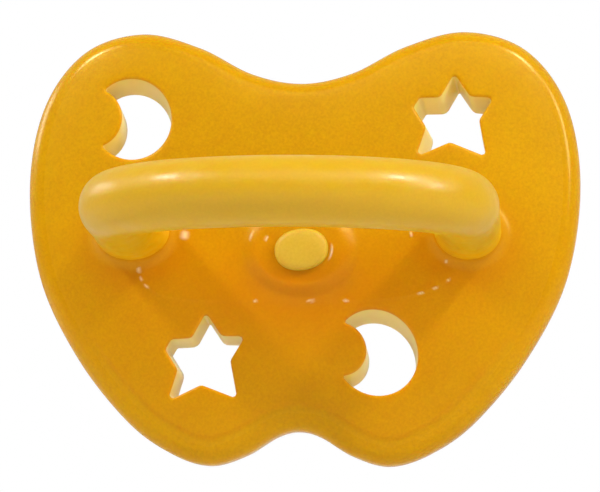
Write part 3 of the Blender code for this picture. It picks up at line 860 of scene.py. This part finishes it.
def rubber(name, deep, light, roughness, specular, tones=(), tint=(1.0, 1.0, 1.0), patchy=True):
    """Natural rubber: cloudy amber colour, light scattered inside it and a fine speckled skin.

    Each tone is (mark stored on the mesh, colour where the mark is 1, how far it takes over).
    """
    material = bpy.data.materials.new(name)
    material.use_nodes = True
    nodes, links = material.node_tree.nodes, material.node_tree.links
    shader = nodes["Principled BSDF"]
    place = nodes.new("ShaderNodeTexCoord")
    mixed = nodes.new("ShaderNodeMix")
    mixed.inputs["Factor"].default_value = SPECKLE_SHARE
    links.new(noise(nodes, links, place, *CLOUDS), mixed.inputs["A"])
    links.new(noise(nodes, links, place, *SPECKLE), mixed.inputs["B"])
    tone = nodes.new("ShaderNodeValToRGB")
    tone.color_ramp.elements[0].position = 0.3
    tone.color_ramp.elements[0].color = (*deep, 1.0)
    tone.color_ramp.elements[1].position = 0.7
    tone.color_ramp.elements[1].color = (*light, 1.0)
    links.new(mixed.outputs["Result"], tone.inputs["Fac"])
    colour = tone.outputs["Color"]
    for mark, marked, most in tones:
        share = nodes.new("ShaderNodeMath")
        share.operation = "MULTIPLY"
        share.inputs[1].default_value = most
        links.new(stored_mark(nodes, mark), share.inputs[0])
        blend = nodes.new("ShaderNodeMix")
        blend.data_type = "RGBA"
        links.new(share.outputs["Value"], blend.inputs["Factor"])
        links.new(colour, blend.inputs["A"])
        blend.inputs["B"].default_value = (*marked, 1.0)
        colour = blend.outputs["Result"]
    links.new(colour, shader.inputs["Base Color"])
    fine = bump(nodes, links, noise(nodes, links, place, *GRAIN), *GRAIN_BUMP)
    soft = bump(nodes, links, noise(nodes, links, place, *SWELL), *SWELL_BUMP)
    links.new(fine.outputs["Normal"], soft.inputs["Normal"])
    links.new(soft.outputs["Normal"], shader.inputs["Normal"])
    shader.inputs["Roughness"].default_value = roughness
    if patchy:
        sheen = nodes.new("ShaderNodeMapRange")
        sheen.inputs["From Min"].default_value = 0.35
        sheen.inputs["From Max"].default_value = 0.65
        sheen.inputs["To Min"].default_value = roughness + PATCH_RANGE[0]
        sheen.inputs["To Max"].default_value = roughness + PATCH_RANGE[1]
        links.new(noise(nodes, links, place, *PATCHES), sheen.inputs["Value"])
        links.new(sheen.outputs["Result"], shader.inputs["Roughness"])
    shader.inputs["IOR"].default_value = 1.5
    shader.inputs["Specular IOR Level"].default_value = specular
    shader.inputs["Specular Tint"].default_value = (*tint, 1.0)
    shader.inputs["Subsurface Weight"].default_value = SUBSURFACE
    shader.inputs["Subsurface Radius"].default_value = SUBSURFACE_COLOURS
    shader.inputs["Subsurface Scale"].default_value = SUBSURFACE_DEPTH
    return material


def vary(material, mark, socket, plain, marked):
    """Take one of the shader's values from plain to marked, as a mark on the mesh goes from 0 to 1."""
    nodes, links = material.node_tree.nodes, material.node_tree.links
    level = nodes.new("ShaderNodeMix")
    level.inputs["A"].default_value = plain
    level.inputs["B"].default_value = marked
    links.new(stored_mark(nodes, mark), level.inputs["Factor"])
    links.new(level.outputs["Result"], nodes["Principled BSDF"].inputs[socket])


def join_softly(material):
    """Scatter no light next to a joint mark, where another mesh begins and would cut it off."""
    vary(material, "joint", "Subsurface Weight", SUBSURFACE, 0.0)


def dress(piece, material):
    piece.data.materials.append(material)


# ---------------------------------------------------------------- stage, lights, camera

def area_light(name, place, aim, size, power, colour=(1.0, 1.0, 1.0)):
    data = bpy.data.lights.new(name, "AREA")
    data.shape = "RECTANGLE"
    data.size, data.size_y = size
    data.energy = power
    data.color = colour
    lamp = bpy.data.objects.new(name, data)
    lamp.location = place
    lamp.rotation_euler = (Vector(aim) - Vector(place)).to_track_quat("-Z", "Y").to_euler()
    bpy.context.scene.collection.objects.link(lamp)
    return lamp


def add_camera():
    """Camera just right of the shield's axis and a little below it."""
    side, rise, roll = (math.radians(a) for a in (CAMERA_SIDE, CAMERA_RISE, CAMERA_ROLL))
    back = Vector((math.sin(side) * math.cos(rise), -math.cos(side) * math.cos(rise), math.sin(rise)))
    right = Vector((math.cos(side), math.sin(side), 0.0))
    up = back.cross(right)
    right, up = (right * math.cos(roll) + up * math.sin(roll), up * math.cos(roll) - right * math.sin(roll))
    data = bpy.data.cameras.new("camera")
    data.sensor_width = 36.0
    data.lens = CAMERA_LENS
    data.clip_start = 0.01
    data.clip_end = 20.0
    camera = bpy.data.objects.new("camera", data)
    aim = (right * CAMERA_AIM[0] + up * CAMERA_AIM[1]) * MM
    turn = Matrix((right, up, back)).transposed().to_4x4()
    camera.matrix_world = Matrix.Translation(aim + back * CAMERA_DISTANCE * MM) @ turn
    bpy.context.scene.collection.objects.link(camera)
    bpy.context.scene.camera = camera


def add_stage():
    """A wide pale floor, and a soft white studio round it."""
    corners = ((-1.0, -1.0), (1.0, -1.0), (1.0, 1.0), (-1.0, 1.0))
    floor_mesh = bpy.data.meshes.new("floor")
    floor_mesh.from_pydata([(x * FLOOR_REACH, y * FLOOR_REACH, FLOOR_Z * MM) for x, y in corners],
                           [], [(0, 1, 2, 3)])
    floor = bpy.data.objects.new("floor", floor_mesh)
    bpy.context.scene.collection.objects.link(floor)
    pale = bpy.data.materials.new("pale_floor")
    pale.use_nodes = True
    shader = pale.node_tree.nodes["Principled BSDF"]
    shader.inputs["Base Color"].default_value = (*FLOOR_COLOUR, 1.0)
    shader.inputs["Roughness"].default_value = 0.9
    floor_mesh.materials.append(pale)
    world = bpy.data.worlds.new("studio")
    bpy.context.scene.world = world
    world.use_nodes = True
    glow = world.node_tree.nodes["Background"]
    nodes, links = world.node_tree.nodes, world.node_tree.links
    where = nodes.new("ShaderNodeTexCoord")
    parts = nodes.new("ShaderNodeSeparateXYZ")
    links.new(where.outputs["Generated"], parts.inputs["Vector"])
    behind = nodes.new("ShaderNodeMapRange")
    behind.inputs["From Min"].default_value = -0.2
    behind.inputs["From Max"].default_value = 0.5
    behind.inputs["To Min"].default_value = WORLD_FRONT
    behind.inputs["To Max"].default_value = WORLD_BACK
    links.new(parts.outputs["Y"], behind.inputs["Value"])
    seen = nodes.new("ShaderNodeLightPath")
    level = nodes.new("ShaderNodeMix")
    level.inputs["B"].default_value = 1.0
    links.new(behind.outputs["Result"], level.inputs["A"])
    links.new(seen.outputs["Is Camera Ray"], level.inputs["Factor"])
    links.new(level.outputs["Result"], glow.inputs["Strength"])
    glow.inputs["Color"].default_value = (1.0, 1.0, 1.0, 1.0)


def build():
    points, faces, marks = make_shield_mesh()
    # painted glints: pale colour on the beads and the seam
    # painted shade: deeper orange where shadow falls on the plate
    marks.update(core=core_depth(points), fleck=fleck_share(points), joint=joint_share(points))
    shield = add_mesh("shield_moulding", points, faces, marks)
    # the vents' walls are painted paler, a painted glow of light through the rubber
    amber = rubber("amber_rubber", SHIELD_DEEP, SHIELD_LIGHT, *AMBER_FINISH,
                   (("core", SHIELD_PAINTED_SHADE, 1.0), ("wall", PAINTED_WALL_GLOW, 0.9), ("fleck", PAINTED_GLINT, 0.9)),
                   AMBER_TINT, False)
    vary(amber, "rim", "Roughness", AMBER_FINISH[0], RIM_ROUGHNESS)
    join_softly(amber)
    dress(shield, amber)
    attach(shield, "shield_body")
    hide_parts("shield")

    handle = make_handle()
    # the legs' roots get a shield-like hue, painted brighter as painted light
    honey = rubber("honey_rubber", HANDLE_DEEP, HANDLE_LIGHT, *HONEY_FINISH,
                   (("root", ROOT_TONE_AND_GLOW, 0.9),), HONEY_TINT)
    join_softly(honey)
    dress(handle, honey)
    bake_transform(handle)
    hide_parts("handle_root_left", "handle_root_right", "handle_arch")

    plug = make_plug()
    dress(plug, rubber("plug_honey_rubber", PLUG_DEEP, PLUG_LIGHT, *PLUG_FINISH))
    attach(plug, "shield_body")
    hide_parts("teat_plug")

    shank = make_teat_shank()
    root_amber = rubber("teat_root_amber", SHIELD_DEEP, SHIELD_LIGHT, *TEAT_FINISH)
    join_softly(root_amber)
    dress(shank, root_amber)
    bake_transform(shank)
    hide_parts("teat_base")

    teat = make_teat_skin()
    teat_amber = rubber("teat_amber", SHIELD_DEEP, SHIELD_LIGHT, *TEAT_FINISH)
    join_softly(teat_amber)
    dress(teat, teat_amber)
    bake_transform(teat)
    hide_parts("teat_neck", "teat_bulb")


build()
add_stage()
add_camera()
for lamp in LAMPS:
    area_light(*lamp)
bpy.context.scene.view_settings.view_transform = "Standard"
